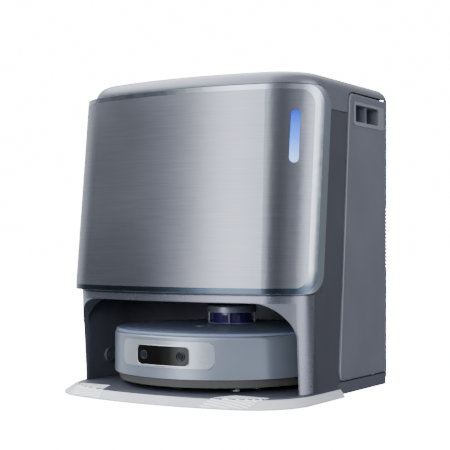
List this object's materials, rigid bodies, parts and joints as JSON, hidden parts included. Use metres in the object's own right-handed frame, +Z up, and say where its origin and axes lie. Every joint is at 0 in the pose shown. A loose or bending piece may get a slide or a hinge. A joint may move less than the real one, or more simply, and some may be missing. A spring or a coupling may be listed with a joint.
{
  "type": "robot vacuum with docking station",
  "caption": "Round robot vacuum parked under an upright docking station with a brushed steel front cover, a blue light bar, side tanks, a silver arch and a frosted ramp.",
  "frame": {"origin": "centre of the footprint on the floor, which is also the robot's centre; the station's mouth faces -Y", "axes": "+X to the viewer's right, +Y towards the wall, +Z up"},
  "size_m": [0.4436, 0.431, 0.5],
  "materials": {
    "graphite_plastic": "satin graphite moulded plastic",
    "pearl_graphite": "satin metallic-grey moulded plastic",
    "silver_plastic": "satin silver-grey moulded plastic",
    "lid_plastic": "satin metallic-grey moulded plastic",
    "brushed_steel": "brushed stainless steel, vertical grain",
    "bevel": "polished light rim",
    "blue_light": "lit diffuser, blue",
    "ramp_white": "frosted translucent plastic",
    "plate_dark": "satin dark plastic",
    "tray_dark": "matt dark plastic",
    "liner_black": "matt black plastic",
    "rubber": "matt rubber",
    "steel": "polished steel",
    "nickel": "nickel-plated contact",
    "tank_clear": "translucent grey tank wall",
    "tank_smoke": "smoked tank wall",
    "bag_paper": "non-woven filter bag",
    "duct_black": "matt black duct",
    "motor_grey": "matt grey motor can",
    "robot_shell": "satin blue-grey plastic",
    "robot_top": "gloss dark blue-grey",
    "robot_skirt": "matt grey plastic",
    "silver_trim": "bright silver trim",
    "black_glass": "gloss black window",
    "lens_black": "coated lens",
    "violet": "gloss violet plastic",
    "tyre": "treaded tyre",
    "nylon": "nylon bristle and rubber fin",
    "mop_cloth": "looped mop cloth",
    "battery_wrap": "shrink-wrapped pack",
    "bin_smoke": "smoked dust bin"
  },
  "bodies": {
    "dock": {"base_plate": "plate_dark", "ramp": "ramp_white", "rubber_feet": "rubber", "wash_tray": "tray_dark", "garage_wall": "tray_dark", "garage_roof": "tray_dark", "wall_pads": "tray_dark", "front_fascia": "silver_plastic", "door_frame": "graphite_plastic", "right_column": "graphite_plastic", "left_column": "graphite_plastic", "back_shell": "pearl_graphite", "power_inlet": "liner_black", "lid_pins": "steel", "bay_liner": "liner_black", "dust_bag": "bag_paper", "suction_motor": "motor_grey", "dust_duct": "duct_black", "water_pumps": "motor_grey", "air_dryer": "duct_black"},
    "lid": {"top_lid": "lid_plastic"},
    "front_cover": {"door_steel": "brushed_steel", "door_bezel": "bevel", "door_liner": "graphite_plastic", "light_bar": "blue_light", "door_magnets": "steel"},
    "clean_water_tank": {"clean_tank": "tank_clear", "clean_tank_panel": "pearl_graphite", "clean_tank_grip": "graphite_plastic", "clean_tank_cap": "liner_black"},
    "dirty_water_tank": {"dirty_tank": "tank_smoke", "dirty_tank_panel": "pearl_graphite", "dirty_tank_grip": "graphite_plastic", "dirty_tank_cap": "liner_black"},
    "contact_pins": {"charge_contacts": "nickel"},
    "robot": {"robot_chassis": "robot_skirt", "cliff_sensors": "black_glass", "rear_shell": "robot_shell", "robot_contacts": "nickel", "top_cover": "robot_top", "lidar_base": "robot_top", "lidar_cap": "robot_shell", "wheel_gearboxes": "duct_black", "brush_guard": "duct_black", "battery": "battery_wrap", "dust_bin": "bin_smoke"},
    "bumper": {"bumper": "robot_shell", "sensor_bezel": "silver_trim", "sensor_window": "black_glass", "sensor_lenses": "lens_black"},
    "power_button": {"power_button": "silver_trim"},
    "lidar_rotor": {"lidar_rotor": "violet"},
    "left_wheel": {"left_wheel": "tyre"},
    "right_wheel": {"right_wheel": "tyre"},
    "caster_fork": {"caster_fork": "duct_black"},
    "caster_wheel": {"caster_wheel": "tyre"},
    "main_brush": {"main_brush": "nylon"},
    "side_brush": {"side_brush": "nylon"},
    "left_mop": {"left_mop": "mop_cloth"},
    "right_mop": {"right_mop": "mop_cloth"}
  },
  "joints": [
    {"name": "lid_hinge", "type": "hinge", "parent": "dock", "child": "lid", "pos_m": [0, 0.2105, 0.49], "axis": [-1, 0, 0], "range_deg": [0, 70]},
    {"name": "front_cover_pull", "type": "slide", "parent": "dock", "child": "front_cover", "axis": [0, -1, 0], "range_m": [0, 0.16]},
    {"name": "clean_tank_pull", "type": "slide", "parent": "dock", "child": "clean_water_tank", "axis": [-1, 0, 0], "range_m": [0, 0.12]},
    {"name": "dirty_tank_pull", "type": "slide", "parent": "dock", "child": "dirty_water_tank", "axis": [1, 0, 0], "range_m": [0, 0.12]},
    {"name": "contact_pins_press", "type": "slide", "parent": "dock", "child": "contact_pins", "axis": [0, 1, 0], "range_m": [0, 0.002], "stiffness_N_per_m": 400},
    {"name": "robot_drive", "type": "slide", "parent": "dock", "child": "robot", "axis": [0, -1, 0], "range_m": [0, 0.4]},
    {"name": "bumper_press", "type": "slide", "parent": "robot", "child": "bumper", "axis": [0, 1, 0], "range_m": [0, 0.0025], "stiffness_N_per_m": 500},
    {"name": "power_button_press", "type": "slide", "parent": "robot", "child": "power_button", "axis": [0, 0, -1], "range_m": [0, 0.0006], "stiffness_N_per_m": 300, "springref_m": -0.001},
    {"name": "lidar_spin", "type": "hinge", "parent": "robot", "child": "lidar_rotor", "pos_m": [0, 0.032, 0.11], "axis": [0, 0, 1], "continuous": true},
    {"name": "left_wheel_spin", "type": "hinge", "parent": "robot", "child": "left_wheel", "pos_m": [-0.126, -0.004, 0.0497], "axis": [1, 0, 0], "continuous": true},
    {"name": "right_wheel_spin", "type": "hinge", "parent": "robot", "child": "right_wheel", "pos_m": [0.126, -0.004, 0.0497], "axis": [1, 0, 0], "continuous": true},
    {"name": "caster_swivel", "type": "hinge", "parent": "robot", "child": "caster_fork", "pos_m": [0, -0.132, 0.05], "axis": [0, 0, 1], "continuous": true},
    {"name": "caster_roll", "type": "hinge", "parent": "caster_fork", "child": "caster_wheel", "pos_m": [0, -0.129, 0.0267], "axis": [1, 0, 0], "continuous": true},
    {"name": "main_brush_spin", "type": "hinge", "parent": "robot", "child": "main_brush", "pos_m": [0, -0.05, 0.0335], "axis": [1, 0, 0], "continuous": true},
    {"name": "side_brush_spin", "type": "hinge", "parent": "robot", "child": "side_brush", "pos_m": [0.099, -0.099, 0.03], "axis": [0, 0, 1], "continuous": true},
    {"name": "left_mop_spin", "type": "hinge", "parent": "robot", "child": "left_mop", "pos_m": [-0.064, 0.104, 0.02], "axis": [0, 0, 1], "continuous": true},
    {"name": "right_mop_spin", "type": "hinge", "parent": "robot", "child": "right_mop", "pos_m": [0.064, 0.104, 0.02], "axis": [0, 0, 1], "continuous": true}
  ],
  "couplings": [
    {"joint": "left_mop_spin", "follows": "right_mop_spin", "ratio": -1}
  ]
}
